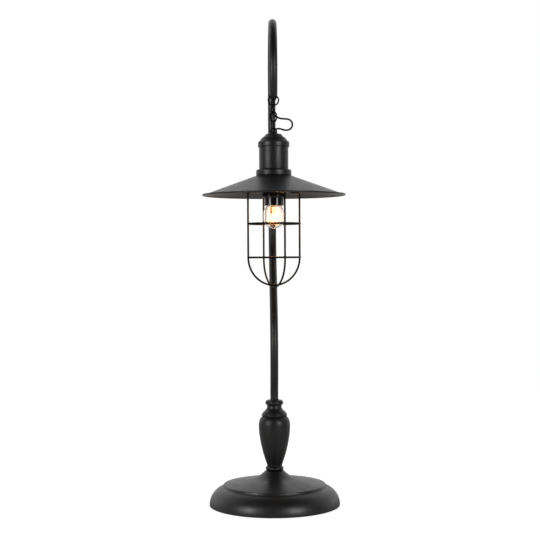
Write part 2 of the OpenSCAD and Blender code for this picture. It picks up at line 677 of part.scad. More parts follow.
// The glass's outside, drawn in by a wall thickness w, from its neck to its tip
function glass_outline(w) = concat(
    [[bulb_neck_r - w, 6], [bulb_neck_r - w, -1]],
    curve([[bulb_neck_r - w, -1.4], [bulb_neck_r + 1.5 - w, -3.6], [bulb_r - w, -7],
        [bulb_r - w, -12]]),
    curve([[bulb_r - w, 16 - bulb_show], [bulb_r - w, 5.5 - bulb_show],
        [0.65 * bulb_r, w + 3 - bulb_show], [0.01, w - bulb_show]])
);
module bulb_glass() color([1, 0.93, 0.8, 0.35]) in_lantern() translate([0, 0, socket_z])
    lathe(concat(glass_outline(0),
        [for (i = [len(glass_outline(0)) - 1:-1:0]) glass_outline(glass_wall)[i]]));

module bulb_stem() color([1, 0.96, 0.9, 0.5]) in_lantern() translate([0, 0, socket_z])
    lathe([[0, 5.8], [bulb_neck_r - glass_wall - 0.1, 5.8], [4, 3], [2.8, -2],
        [2.4, -stem_drop], [0, -stem_drop]]);

// A wire that zigzags between a small crown under the glass stem and a wider one below
module filament() color([1, 0.7, 0.3]) in_lantern() translate([0, 0, socket_z - stem_drop])
    tube(filament_route, 0.3, 3, 6);

base_shell();
base_weight();
base_felt();
base_washer();
base_nut();
threaded_rod();
inlet_bushing();
foot_collar();
vase();
vase_cap();
neck_ring();
stem();
crook_tip();
stem_lead();
hang_ring();
chain_link_1();
chain_link_2();
chain_link_3();
lamp_cord();
cup_loop();
hanger_stud();
loop_nut();
cord_grommet();
cup_cap();
cup_body();
cup_flange();
socket_cap();
socket_insulator();
terminal_screws();
centre_contact();
screw_shell();
socket_body();
shade();
spacer_sleeve();
ring_nut();
cage_plate();
cage_loop_wide();
cage_loop_narrow();
cage_ring_upper();
cage_ring_lower();
bulb_cap();
bulb_contact();
bulb_glass();
bulb_stem();
filament();
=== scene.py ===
"""Looks of the lantern table lamp: fine meshes, materials, studio light and camera.

Everything is in metres in the model's own frame: +Z up, -Y to the front. Sizes and
outlines are written in millimetres, as a turner would read them, and scaled by MM.
"""

import json
import math

import bmesh
import bpy
from mathutils import Matrix, Vector

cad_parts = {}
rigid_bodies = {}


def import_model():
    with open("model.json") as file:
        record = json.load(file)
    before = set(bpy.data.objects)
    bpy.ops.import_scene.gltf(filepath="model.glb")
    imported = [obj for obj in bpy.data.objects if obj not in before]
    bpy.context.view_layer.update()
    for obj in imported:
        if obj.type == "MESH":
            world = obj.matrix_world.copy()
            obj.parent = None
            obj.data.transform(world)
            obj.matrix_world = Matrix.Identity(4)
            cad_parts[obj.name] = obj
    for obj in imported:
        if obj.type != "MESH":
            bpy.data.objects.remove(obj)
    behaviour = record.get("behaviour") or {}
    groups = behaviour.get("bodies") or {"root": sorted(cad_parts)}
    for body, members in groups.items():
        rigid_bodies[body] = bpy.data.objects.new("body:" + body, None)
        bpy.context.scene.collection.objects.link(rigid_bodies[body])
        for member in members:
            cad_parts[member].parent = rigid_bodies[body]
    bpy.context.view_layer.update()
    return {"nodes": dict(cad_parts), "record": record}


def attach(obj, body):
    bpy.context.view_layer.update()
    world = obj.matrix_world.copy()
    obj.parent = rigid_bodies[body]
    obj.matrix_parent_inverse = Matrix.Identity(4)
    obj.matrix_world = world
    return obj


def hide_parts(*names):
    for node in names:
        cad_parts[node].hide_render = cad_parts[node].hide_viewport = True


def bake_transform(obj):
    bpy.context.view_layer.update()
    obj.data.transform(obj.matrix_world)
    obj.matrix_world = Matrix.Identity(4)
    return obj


MM = 0.001
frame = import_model()
nodes = frame["nodes"]

# ---- Sizes, in millimetres, as the solids have them ----

HANG_Y = -51.876
CUP_Z = 586.301
SHADE_Z = CUP_Z - 64.4
PLATE_Z = SHADE_Z - 24
SOCKET_Z = PLATE_Z - 22.7
UPPER_RING_Z = PLATE_Z - 50.5
LOWER_RING_Z = UPPER_RING_Z - 52.2
STEM_DROP = 9
STEM_Z = 149.3
CORD_R = 1.4
WIRE_R, RING_WIRE_R, LINK_WIRE_R = 1.5, 1.2, 1.1
TUBE_R, TUBE_BORE_R = 6.35, 5.05
CAGE_R, CAGE_RING_R, CAGE_TURN = 43.2, 40.4, 21.3
CUP_R, SPUN_WALL = 22.7, 1.2

# The cord's route, from inside the crook's tip round the chain and down into the cup.
CORD_ROUTE = [
    (0, -51.2, 651.4), (0, -49.5, 649.4), (0, -48, 646.8), (0, -47.1, 643.9), (0, -46.8, 640.9),
    (0, -46, 638.1), (-0.2, -44.6, 635.4), (-0.8, -43.7, 632.7), (-1.7, -43.8, 629.9),
    (-2.6, -45.2, 627.4), (-3.3, -47.4, 625.5), (-3.8, -50, 624.1), (-3.9, -52.6, 622.6),
    (-3.5, -55, 620.8), (-2.4, -56.8, 618.7), (-0.6, -57.8, 616.6), (1.7, -58, 614.6),
    (4.1, -57.5, 612.9), (6.6, -56.8, 611.4), (9.3, -55.9, 610.4), (12.1, -55.1, 609.8),
    (15.1, -54.5, 609.6), (18, -54.1, 609.4), (21, -53.8, 609.2), (23.9, -53.6, 608.4),
    (26.4, -53.3, 606.9), (28.3, -52.9, 604.6), (29.2, -52.4, 601.8), (29, -51.8, 598.9),
    (27.8, -51.1, 596.3), (25.8, -50.4, 594.2), (23.2, -49.5, 593), (20.4, -48.6, 592.6),
    (17.6, -47.5, 592.9), (14.9, -46.4, 593.6), (12.3, -45.3, 594.5), (9.6, -44.2, 595.3),
    (6.8, -43.3, 595.5), (4, -42.8, 594.8), (1.7, -42.6, 592.9), (0.4, -42.7, 590.2),
    (0, -42.7, 587.2), (0, -42.7, 584.2), (0, -42.7, 577.2), (0, -42.7, 570.2), (0, -42.7, 563.2),
    (0, -42.7, 555.2),
]


# ---- Camera, fitted to the photograph: metres, degrees, pixels and sensor millimetres ----

CAMERA_DISTANCE, CAMERA_Z = 1.950, 0.3953
CAMERA_SIDE, CAMERA_AIM, CAMERA_TILT, CAMERA_ROLL = 1.1, 0.17, 0.595, -0.3
FOCAL_PIXELS, PHOTO_PIXELS, SENSOR_WIDTH = 1223.3, 540, 36


def set_camera():
    """A long lens below the lantern, a little to the left, almost level."""
    side = math.radians(CAMERA_SIDE)
    cam = bpy.data.objects.new("camera", bpy.data.cameras.new("camera"))
    cam.data.sensor_width = SENSOR_WIDTH
    cam.data.lens = SENSOR_WIDTH * FOCAL_PIXELS / PHOTO_PIXELS
    bpy.context.collection.objects.link(cam)
    place = Vector((-CAMERA_DISTANCE * math.sin(side), -CAMERA_DISTANCE * math.cos(side),
                    CAMERA_Z))
    yaw = Matrix.Rotation(-side + math.radians(CAMERA_AIM), 4, "Z")
    pitch = Matrix.Rotation(math.radians(90 - CAMERA_TILT), 4, "X")
    roll = Matrix.Rotation(math.radians(CAMERA_ROLL), 4, "Z")
    cam.matrix_world = Matrix.Translation(place) @ yaw @ pitch @ roll
    bpy.context.scene.camera = cam


# ---- Materials ----

def map_range(tree, value, start, end, low, high, kind="LINEAR"):
    """Maps start..end to low..high, held at both ends."""
    node = tree.nodes.new("ShaderNodeMapRange")
    node.interpolation_type = kind
    for name, number in zip(("From Min", "From Max", "To Min", "To Max"), (start, end, low, high)):
        node.inputs[name].default_value = number
    tree.links.new(value, node.inputs["Value"])
    return node.outputs["Result"]


def maths(tree, operation, *inputs):
    """Adds a maths node whose inputs are outputs of other nodes or plain numbers."""
    node = tree.nodes.new("ShaderNodeMath")
    node.operation = operation
    for socket, value in zip(node.inputs, inputs):
        if isinstance(value, (int, float)):
            socket.default_value = value
        else:
            tree.links.new(value, socket)
    return node.outputs[0]


class Shader:
    """A node material under construction, with short helpers for its nodes and links."""

    def __init__(self, name):
        self.material = bpy.data.materials.new(name)
        self.material.use_nodes = True
        self.tree = self.material.node_tree
        self.bsdf = self.tree.nodes["Principled BSDF"]
        self.where = self.tree.nodes.new("ShaderNodeTexCoord").outputs["Object"]

    def set(self, **values):
        for name, value in values.items():
            self.bsdf.inputs[name.replace("_", " ")].default_value = value
        return self

    def noise(self, scale, detail=3.0, stretch=(1, 1, 1)):
        place = self.tree.nodes.new("ShaderNodeMapping")
        place.inputs["Scale"].default_value = stretch
        node = self.tree.nodes.new("ShaderNodeTexNoise")
        node.inputs["Scale"].default_value = scale
        node.inputs["Detail"].default_value = detail
        self.tree.links.new(self.where, place.inputs["Vector"])
        self.tree.links.new(place.outputs["Vector"], node.inputs["Vector"])
        return node.outputs["Fac"]

    def ramp(self, factor, low, high, start=0.3, end=0.7):
        return map_range(self.tree, factor, start, end, low, high)

    def mix(self, factor, low, high):
        node = self.tree.nodes.new("ShaderNodeMix")
        node.data_type = "RGBA"
        node.inputs["A"].default_value = (*low, 1)
        node.inputs["B"].default_value = (*high, 1)
        self.tree.links.new(factor, node.inputs["Factor"])
        return node.outputs["Result"]

    def link(self, output, socket):
        self.tree.links.new(output, self.bsdf.inputs[socket])
        return self

    def mottle(self, factor, dark, light):
        """Lets the base colour wander between two tones."""
        return self.link(self.mix(self.ramp(factor, 0, 1), dark, light), "Base Color")

    def bump(self, *heights):
        """Adds bumps, each a height output and its depth in metres."""
        last = None
        for height, depth in heights:
            node = self.tree.nodes.new("ShaderNodeBump")
            node.inputs["Strength"].default_value = 1.0
            node.inputs["Distance"].default_value = depth
            self.tree.links.new(height, node.inputs["Height"])
            if last:
                self.tree.links.new(last, node.inputs["Normal"])
            last = node.outputs["Normal"]
        return self.link(last, "Normal")


def paint(name, dark, light, rough, spread, grain, depth, ior=1.5):
    """Sprayed paint: slow changes of tone, patches of gloss and a fine orange peel."""
    s = Shader(name)
    s.mottle(s.noise(26, 4), dark, light)
    s.link(s.ramp(s.noise(70, 5), rough - spread, rough + spread), "Roughness")
    s.bump((s.noise(grain, 2), depth), (s.noise(grain / 6, 2), depth * 1.5))
    return s.set(IOR=ior).material


def metal(name, dark, light, rough, spread, stretch=(1, 1, 1)):
    """Bare metal with fine turning or drawing marks."""
    s = Shader(name)
    lines = s.noise(420, 3, stretch)
    s.mottle(lines, dark, light)
    s.link(s.ramp(lines, rough - spread, rough + spread), "Roughness")
    s.bump((lines, 0.00001))
    return s.set(Metallic=1.0).material


def glass(name, tint, rough, ripple, glow, glow_level):
    """Clear blown glass with a slight ripple and a faint painted glow: its own emission stands in
    for the filament's light in the glass.
    """
    s = Shader(name)
    s.mottle(s.noise(40, 2), tint, [min(1, 1.01 * c) for c in tint])
    s.bump((s.noise(60, 1), ripple))
    # Painted glow: the glass itself emits a faint warm light in place of the filament's light
    # passing through it.
    s.set(Emission_Color=(*glow, 1), Emission_Strength=glow_level)
    return s.set(Roughness=rough, IOR=1.45, Transmission_Weight=1.0).material


def cast_iron():
    s = Shader("cast_iron")
    s.mottle(s.noise(55, 6), (0.07, 0.068, 0.066), (0.15, 0.14, 0.135))
    s.link(s.ramp(s.noise(160, 4), 0.58, 0.78), "Roughness").bump((s.noise(320, 5), 0.00012))
    return s.set(Metallic=0.6).material


def porcelain():
    s = Shader("glazed_porcelain")
    s.mottle(s.noise(60, 3), (0.78, 0.76, 0.71), (0.88, 0.86, 0.82))
    s.bump((s.noise(90, 2), 0.00003))
    return s.set(Roughness=0.22, Coat_Weight=0.4).material


def felt():
    s = Shader("pressed_felt")
    fibres = s.noise(900, 6, (1, 1, 0.4))
    s.mottle(fibres, (0.012, 0.014, 0.012), (0.045, 0.05, 0.045))
    s.bump((fibres, 0.0002), (s.noise(120, 3), 0.0002))
    return s.set(Roughness=0.95, Sheen_Weight=0.3).material


def black_flex():
    s = Shader("black_flex")
    skin = s.noise(500, 4)
    s.mottle(s.noise(60, 3), (0.0015, 0.0015, 0.0016), (0.0030, 0.0030, 0.0031))
    s.link(s.ramp(skin, 0.44, 0.56), "Roughness").bump((skin, 0.000006))
    return s.set(IOR=1.2).material


def hot_filament():
    s = Shader("hot_filament")
    s.mottle(s.noise(300, 2), (0.9, 0.45, 0.12), (1.0, 0.6, 0.2))
    return s.set(Emission_Color=(1.0, 0.58, 0.34, 1), Emission_Strength=2.6).material


def make_materials():
    """One material for each of the record's slots, put on its solids, and one for the base: a
    lighter, more reflective copy of the black paint, a painted sheen that brightens the base.
    """
    made = {
        "black_paint": paint("satin_black_paint", (0.0025, 0.0025, 0.0026),
                             (0.0045, 0.0045, 0.0046), 0.41, 0.04, 1400, 0.000008),
        # Painted sheen: the base's copy of the black paint is lighter and reflects more strongly,
        # to brighten the base.
        "base_paint": paint("satin_base_paint", (0.0030, 0.0030, 0.0031),
                            (0.0050, 0.0050, 0.0051), 0.40, 0.04, 1400, 0.000008, 1.58),
        "black_wire": paint("painted_wire", (0.0012, 0.0012, 0.0012),
                            (0.0024, 0.0024, 0.0024), 0.44, 0.05, 1800, 0.000003, 1.16),
        "socket_black": paint("moulded_black", (0.0020, 0.0020, 0.0021),
                              (0.0040, 0.0040, 0.0041), 0.16, 0.03, 900, 0.000003),
        "zinc": metal("zinc_plate", (0.50, 0.50, 0.48), (0.68, 0.68, 0.64), 0.34, 0.06),
        "brass": metal("plated_brass", (0.66, 0.48, 0.20), (0.84, 0.64, 0.31), 0.28, 0.06,
                       (1, 1, 6)),
        # Both glasses carry a faint painted glow, weaker on the bulb's glass than on the glass
        # stem.
        "bulb_glass": glass("clear_bulb_glass", (0.960, 0.910, 0.860), 0.0, 0.00001,
                            (1, 0.5, 0.2), 0.015),
        "stem_glass": glass("pressed_glass", (1.0, 0.97, 0.92), 0.04, 0.00004,
                            (1, 0.6, 0.26), 0.15),
        "iron": cast_iron(),
        "porcelain": porcelain(),
        "felt": felt(),
        "flex_black": black_flex(),
        "filament": hot_filament(),
    }
    for entry in frame["record"]["subparts"]:
        piece = nodes[entry["node"]]
        piece.data.materials.clear()
        piece.data.materials.append(made[entry["material_slot"]])
    return made


# ---- Shapes ----

def cos(degrees):
    return math.cos(math.radians(degrees))


def sin(degrees):
    return math.sin(math.radians(degrees))


def round_angles(n):
    """n even steps round a circle, in radians."""
    return [2 * math.pi * k / n for k in range(n)]


def arc(centre, r, a0, a1, n=10):
    """Points round a centre from angle a0 to a1, in degrees."""
    angles = [a0 + (a1 - a0) * i / n for i in range(n + 1)]
    return [(centre[0] + r * cos(a), centre[1] + r * sin(a)) for a in angles]


def curve(p, n=18):
    """Points of a smooth curve with four control points."""
    out = []
    for i in range(n + 1):
        t, u = i / n, 1 - i / n
        w = (u ** 3, 3 * u * u * t, 3 * u * t * t, t ** 3)
        out.append(tuple(sum(w[k] * p[k][c] for k in range(4)) for c in (0, 1)))
    return out


def softened(outline, r, n=3):
    """Rounds each clear corner of a closed outline by about r."""
    out = []
    for i, p in enumerate(outline):
        a, b, c = Vector(outline[i - 1]), Vector(p), Vector(outline[(i + 1) % len(outline)])
        u, v = a - b, c - b
        if u.length < 1e-6 or v.length < 1e-6:
            continue
        turn = math.pi - u.angle(v)
        cut = min(r, 0.4 * u.length, 0.4 * v.length)
        if turn < math.radians(24) or b.x < 1e-6:
            out.append(tuple(b))
            continue
        start, end = b + u.normalized() * cut, b + v.normalized() * cut
        for k in range(n + 1):
            t = k / n
            out.append(tuple(start * (1 - t) ** 2 + b * 2 * t * (1 - t) + end * t * t))
    return out


def new_piece(name, mesh, body, slot_name, material, *replaced):
    """Adds a piece that moves with a body and stands for the solids named last."""
    mesh.materials.append(material)
    mesh.shade_smooth()
    mesh.set_sharp_from_angle(angle=math.radians(38))
    piece = bpy.data.objects.new(name, mesh)
    bpy.context.collection.objects.link(piece)
    if replaced:
        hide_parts(*replaced)
    if body:
        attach(piece, body)
    return piece


def finished_mesh(name, bm):
    """Turns the faces outwards and stores them."""
    bmesh.ops.recalc_face_normals(bm, faces=bm.faces)
    mesh = bpy.data.meshes.new(name)
    bm.to_mesh(mesh)
    bm.free()
    return mesh


def lathe_mesh(name, outline, centre=(0, 0, 0), segments=128, soften=0.3):
    """Turns a closed outline of (radius, height) in millimetres about an upright axis."""
    outline = softened(outline, soften) if soften else outline
    bm = bmesh.new()
    rings = []
    for r, z in outline:
        z = (z + centre[2]) * MM
        if r < 1e-4:
            rings.append([bm.verts.new((centre[0] * MM, centre[1] * MM, z))] * segments)
        else:
            rings.append([bm.verts.new(((centre[0] + r * math.cos(a)) * MM,
                                        (centre[1] + r * math.sin(a)) * MM, z))
                          for a in round_angles(segments)])
    for i, ring in enumerate(rings):
        after = rings[(i + 1) % len(rings)]
        for k in range(segments):
            j = (k + 1) % segments
            face = list(dict.fromkeys((ring[k], ring[j], after[j], after[k])))
            if len(face) > 2:
                bm.faces.new(face)
    bmesh.ops.remove_doubles(bm, verts=bm.verts, dist=1e-7)
    return finished_mesh(name, bm)


def frames_along(path, closed):
    """A steady pair of side directions for each point of a path."""
    n = len(path)
    tangents = [(path[(i + 1) % n if closed else min(i + 1, n - 1)]
                 - path[i - 1 if closed else max(i - 1, 0)]).normalized() for i in range(n)]
    side = tangents[0].orthogonal().normalized()
    out = []
    for t in tangents:
        side = (side - side.dot(t) * t).normalized()
        out.append((side.copy(), t.cross(side)))
    return out


def tube_mesh(name, path, radius, closed=False, sides=20, axes=None):
    """A round wire along a path in metres, closed on itself or flat at its ends."""
    bm = bmesh.new()
    rings = tube_rings(bm, path, radius, axes or frames_along(path, closed), sides)
    if closed:
        join_rings(bm, rings[-1], rings[0])
    else:
        bm.faces.new(rings[0])
        bm.faces.new(rings[-1])
    return finished_mesh(name, bm)


def tube_rings(bm, path, radius, axes, sides):
    """Rings of points round a path, each joined to the one before it."""
    rings = [[bm.verts.new(p + radius * (math.cos(a) * u + math.sin(a) * v))
              for a in round_angles(sides)] for p, (u, v) in zip(path, axes)]
    for a, b in zip(rings, rings[1:]):
        join_rings(bm, a, b)
    return rings


def join_rings(bm, a, b):
    """A band of faces between two rings of as many points."""
    for k in range(len(a)):
        j = (k + 1) % len(a)
        bm.faces.new((a[k], a[j], b[j], b[k]))


# ---- Base and column ----

SLOPE = math.radians(11.3)
RIM_CENTRE, RIM_ROUND = (75.1, 2.0), 28.9
STEP_R, STEP_Z, SEAT_Z = 81.5, 33.8, 55.2
FOOT_H, VASE_H, CAP_H, NECK_RING_H = 7.3, 78.8, 18.0, 8.6
ROD_HOLE_R, STEM_HOLE_R, COLLAR_R = 5.2, 6.45, 14.4


def slope_z(r, wall):
    """Height of the sloping top at radius r, or of its inside where there is a wall."""
    return STEP_Z + (STEP_R - r) * math.tan(SLOPE) - wall / math.cos(SLOPE)


def flare(wall):
    """The hollow sweep from the seat down into the slope."""
    s, top, flare_r, bend = math.tan(SLOPE), SEAT_Z - 0.4, 15.3, 36.0
    a = slope_z(flare_r, 0) + bend / math.cos(SLOPE) - top
    u = (a * s + math.sqrt(a * a * s * s - (1 + s * s) * (a * a - bend * bend))) / (1 + s * s)
    centre = (flare_r + u, slope_z(flare_r + u, 0) + bend / math.cos(SLOPE))
    r = bend + wall
    start = 180 + math.degrees(math.asin((centre[1] - top + wall) / r))
    return arc(centre, r, start, 270 - math.degrees(SLOPE), 24)


def rim(wall, top_angle):
    """The round of the rim, from an angle above its centre down to the foot."""
    r = RIM_ROUND - wall
    return arc(RIM_CENTRE, r, top_angle, math.degrees(math.asin((0.8 - RIM_CENTRE[1]) / r)), 40)


def base_outline():
    """The thin shell of the base: its outside from the seat down, then its inside back up."""
    wall, ledge = 1.6, 1.5
    outer = math.degrees(math.acos((STEP_R + ledge - RIM_CENTRE[0]) / RIM_ROUND))
    inner_r = STEP_R - wall
    inner = math.degrees(math.acos((inner_r - RIM_CENTRE[0]) / (RIM_ROUND - wall)))
    return ([(ROD_HOLE_R, SEAT_Z - wall - 0.4), (ROD_HOLE_R, SEAT_Z), (14.9, SEAT_Z)] + flare(0)
            + [(STEP_R - 0.8, slope_z(STEP_R - 0.8, 0))]
            + arc((STEP_R - 0.8, STEP_Z - 0.8), 0.8, 80, 0, 6)
            + rim(0, outer) + rim(wall, inner)[::-1] + [(inner_r, slope_z(inner_r, wall))]
            + flare(wall)[::-1])


def column_outlines():
    """The four turned pieces: name, height of their foot, and outline."""
    vase_z = SEAT_Z + FOOT_H
    foot = ([(ROD_HOLE_R, 0), (12.4, 0)] + arc((COLLAR_R - 3.358, 3.75), 3.358, -62, 68, 14)
            + [(12, FOOT_H), (ROD_HOLE_R, FOOT_H)])
    vase = ([(ROD_HOLE_R, 0), (12.1, 0)]
            + curve([(12, 2), (16.9, 0.19 * VASE_H), (25, 0.52 * VASE_H), (25, 0.83 * VASE_H)])
            + curve([(25, 0.84 * VASE_H), (25, 0.92 * VASE_H), (22.8, 0.975 * VASE_H),
                     (20.2, VASE_H)]) + [(ROD_HOLE_R, VASE_H)])
    cap = ([(ROD_HOLE_R, 0), (19.3, 0)] + arc((18.5, 2.9), 2, -60, 50, 8)
           + curve([(19.3, 4.8), (18.1, 0.5 * CAP_H), (12.2, 0.55 * CAP_H), (11.6, 0.91 * CAP_H)])
           + [(11.6, CAP_H), (STEM_HOLE_R, CAP_H), (STEM_HOLE_R, 8), (ROD_HOLE_R, 8)])
    ring = ([(STEM_HOLE_R, 0), (11.3, 0)] + arc((COLLAR_R - 4.2, 4.4), 4.2, -68, 150, 24)
            + [(STEM_HOLE_R, 6.6)])
    return [("foot_collar", SEAT_Z, foot), ("vase", vase_z, vase),
            ("vase_cap", vase_z + VASE_H, cap), ("neck_ring", vase_z + VASE_H + CAP_H, ring)]


# ---- Stem ----

def stem_path():
    """The tube's centre-line, in metres, from the column up and over the crook."""
    foot_bend, bow, crook, lean_f, lean_b, past = 50, 110, 79, 28, 42, 30
    neck_back, lamp_h = 94.3, 775.6
    column_top = SEAT_Z + FOOT_H + VASE_H + CAP_H + NECK_RING_H
    foot_run = column_top + 3.5 - STEM_Z
    lean_run = (neck_back + foot_bend * (1 - cos(lean_f)) + bow * (cos(lean_b) - cos(lean_f))
                - bow * (1 - cos(lean_b))) / sin(lean_b)
    crook_z = lamp_h - TUBE_R - crook
    upright_z = (STEM_Z + foot_run + foot_bend * sin(lean_f)
                 + bow * (sin(lean_f) + 2 * sin(lean_b)) + lean_run * cos(lean_b))
    runs = [(0, foot_run), (foot_bend, lean_f), (bow, -lean_f - lean_b), (0, lean_run),
            (bow, lean_b), (0, crook_z - upright_z), (crook, 180 + past)]
    y, z, heading, path = 0.0, STEM_Z, 0.0, [(0.0, STEM_Z)]
    for bend, amount in runs:
        if bend == 0:
            y, z = y - amount * sin(heading), z + amount * cos(heading)
            path.append((y, z))
            continue
        steps = max(6, int(abs(amount) / 2.5))
        side = 1 if amount > 0 else -1
        for k in range(1, steps + 1):
            a = heading + amount * k / steps
            cy, cz = y - side * bend * cos(heading), z - side * bend * sin(heading)
            path.append((cy + side * bend * cos(a), cz + side * bend * sin(a)))
        heading += amount
        y, z = path[-1]
    return [Vector((0, py * MM, pz * MM)) for py, pz in path]


def make_stem(made):
    """The bent tube, as thin in the wall as its solid."""
    path, bm = stem_path(), bmesh.new()
    axes = frames_along(path, False)
    outside, bore = (tube_rings(bm, path, r * MM, axes, 40) for r in (TUBE_R, TUBE_BORE_R))
    for end in (0, -1):
        join_rings(bm, outside[end], bore[end])
    new_piece("stem_tube", finished_mesh("stem_tube", bm), "stand", "black_paint",
              made["black_paint"], "stem")


def make_stand(made):
    # The base shell takes the lighter, more reflective copy of the black paint, a painted sheen.
    new_piece("base_spun", lathe_mesh("base_spun", base_outline(), segments=192), "stand",
              "black_paint", made["base_paint"], "base_shell")
    for name, z, outline in column_outlines():
        new_piece(name + "_turned", lathe_mesh(name + "_turned", outline, (0, 0, z)), "stand",
                  "black_paint", made["black_paint"], name)
    make_stem(made)


# ---- Chain ----

def turned(points, turn, z):
    """Points (across, up) in millimetres set upright at the chain, turned about its axis."""
    return [Vector((x * cos(turn) * MM, (HANG_Y + x * sin(turn)) * MM, (z + up) * MM))
            for x, up in points]


def link_points(length=15.2, half=4.6):
    """The middle line of one long link, hung from its top."""
    return (arc((0, -half), half, 0, 180, 22) + arc((0, half - length), half, 180, 360, 22))


def make_chain(made):
    wire = made["black_wire"]
    ring_z, link_z, drop = 638.601, 633.301, 12.7
    ring = turned(arc((0, 0), 7.9, 0, 352, 44), 0, ring_z)
    new_piece("ring_wire", tube_mesh("ring_wire", ring, RING_WIRE_R * MM, True, 24), "ring",
              "black_wire", wire, "hang_ring")
    for i, turn in enumerate((90, 0, 90)):
        path = turned(link_points(), turn, link_z - i * drop)
        name = f"link_{i + 1}_wire"
        new_piece(name, tube_mesh(name, path, LINK_WIRE_R * MM, True, 24), f"link_{i + 1}",
                  "black_wire", wire, f"chain_link_{i + 1}")


# ---- Cord: name, first and last point of the route, bodies, first and last point of the bend ----

CORD_STRETCHES = (
    ("cord_wrap", 0, 17, ("ring", "link_1"), 4, 17),
    ("cord_upper", 17, 28, ("link_1", "link_2"), 17, 28),
    ("cord_lower", 28, 39, ("link_2", "link_3"), 28, 39),
    ("cord_entry", 39, 46, ("link_3", "lantern"), 39, 42),
)


def spline(route, steps):
    """A smooth curve through every point of a route in millimetres, as points in metres."""
    last, out = len(route) - 1, []
    for i in range(last):
        p = [Vector(route[min(max(k, 0), last)]) for k in (i - 1, i, i + 1, i + 2)]
        for s in range(steps):
            t = s / steps
            out.append(0.5 * (2 * p[1] + (p[2] - p[0]) * t
                              + (2 * p[0] - 5 * p[1] + 4 * p[2] - p[3]) * t * t
                              + (3 * p[1] - p[0] - 3 * p[2] + p[3]) * t ** 3))
    return [v * MM for v in out + [Vector(route[last])]]


def make_cord(made):
    """One flex in four stretches along the route, each built as its own piece."""
    steps = 5
    points = spline(CORD_ROUTE, steps)
    axes = frames_along(points, False)
    for name, first, last, (a, b), start, end in CORD_STRETCHES:
        i, j = first * steps, last * steps + 1
        mesh = tube_mesh(name, points[i:j], CORD_R * MM, False, 16, axes[i:j])
        piece = new_piece(name, mesh, None, "flex_black", made["flex_black"], "lamp_cord")
        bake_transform(piece)


# ---- Lantern ----

def spin_lantern(made, node, outline, z=CUP_Z, segments=128):
    """A black spun piece of the lantern whose outline is measured from height z."""
    mesh = lathe_mesh(node + "_spun", outline, (0, HANG_Y, z), segments)
    new_piece(node + "_spun", mesh, "lantern", "black_paint", made["black_paint"], node)


def cap_line(w):
    """The steps of the cup's cap from its top outwards, w inside the surface."""
    return (arc((10.8, -1.8), 1.8 - w, 90, 40, 8) + [(15.6 - w, -4.5), (17.4 - w, -5.9)]
            + arc((17, -7.2), 1.8 - w, 60, 20, 6) + [(22 - w, -11)]
            + arc((21.7, -13.8), 2.6 - w, 68, 0, 10))


def shade_outline():
    """The cone with its flatter lip and rolled edge."""
    shade_r, shade_h, lip, bead, hole_r, flat_r = 111.2, 30.4, 6, 1.3, 15.3, 26.9
    lip_r, lip_z = shade_r - bead, -shade_h + bead
    fold_r, fold_z = lip_r - lip, lip_z + 0.17 * lip
    return ([(hole_r, 0), (flat_r, 0), (fold_r, fold_z), (lip_r, lip_z + 0.5)]
            + arc((lip_r, lip_z - 0.8), bead, 90, -170, 18)
            + [(fold_r, fold_z - SPUN_WALL), (flat_r, -SPUN_WALL), (hole_r, -SPUN_WALL)])


def cage_loop_points(drop):
    """One U-shaped wire with its bent tops, as (across, up) from the cage plate."""
    r, bend, spoke = CAGE_R, 5.0, -WIRE_R + 0.1
    low = LOWER_RING_Z - PLATE_Z - drop
    side = [(29, spoke), (34, spoke)] + arc((r - bend, spoke - bend), bend, 90, 0, 10)
    side += [(r, spoke - bend + (low - spoke + bend) * k / 6) for k in range(1, 6)]
    half = side + arc((0, low), r, 0, -90, 28)
    return half + [(-x, z) for x, z in half[-2::-1]]


def make_cage(made):
    wire = made["black_wire"]
    loops = [(name, turned(cage_loop_points(drop), turn, PLATE_Z), False) for name, turn, drop in
             (("cage_loop_wide", CAGE_TURN, 0), ("cage_loop_narrow", CAGE_TURN + 90, 2.8))]
    rings = [(name, [Vector((CAGE_RING_R * math.cos(a) * MM,
                             (HANG_Y + CAGE_RING_R * math.sin(a)) * MM, z * MM))
                     for a in round_angles(96)], True)
             for name, z in (("cage_ring_upper", UPPER_RING_Z), ("cage_ring_lower", LOWER_RING_Z))]
    for name, path, closed in loops + rings:
        mesh = tube_mesh(name + "_wire", path, WIRE_R * MM, closed, 20)
        new_piece(name + "_wire", mesh, "lantern", "black_wire", wire, name)


def make_bulb(made):
    neck, r, show, wall = 12.3, 16.2, 36, 0.8

    def glass_line(w):
        return ([(neck - w, 6), (neck - w, -1)]
                + curve([(neck - w, -1.4), (neck + 1.5 - w, -3.6), (r - w, -7), (r - w, -12)], 14)
                + curve([(r - w, 16 - show), (r - w, 5.5 - show), (0.65 * r, w + 3 - show),
                         (0, w - show)], 26))

    outline = glass_line(0) + glass_line(wall)[::-1]
    mesh = lathe_mesh("glass_blown", outline, (0, HANG_Y, SOCKET_Z), 96, 0)
    blown = new_piece("glass_blown", mesh, "bulb", "bulb_glass", made["bulb_glass"], "bulb_glass")
    blown.visible_shadow = False
    route, strands = [(-1.2, 0, 0), (-1.2, 0, -0.5), (-1.2, 0, -1)], 18
    for i in range(strands + 1):
        a = math.pi + 2 * math.pi * (i + 0.5) / (strands + 2)
        across, up = ((5.4, -17), (2.6, -1.6))[i % 2]
        route.append((across * math.cos(a), across * math.sin(a), up))
    route += [(-1.2, -0.9, -1), (-1.2, -0.9, -0.5), (-1.2, -0.9, 0)]
    path = [p + Vector((0, HANG_Y, SOCKET_Z - STEM_DROP)) * MM for p in spline(route, 8)]
    mesh = tube_mesh("filament_cage", path, 0.26 * MM, False, 10)
    hot = new_piece("filament_cage", mesh, "bulb", "filament", made["filament"], "filament")
    hot.visible_diffuse = hot.visible_glossy = False


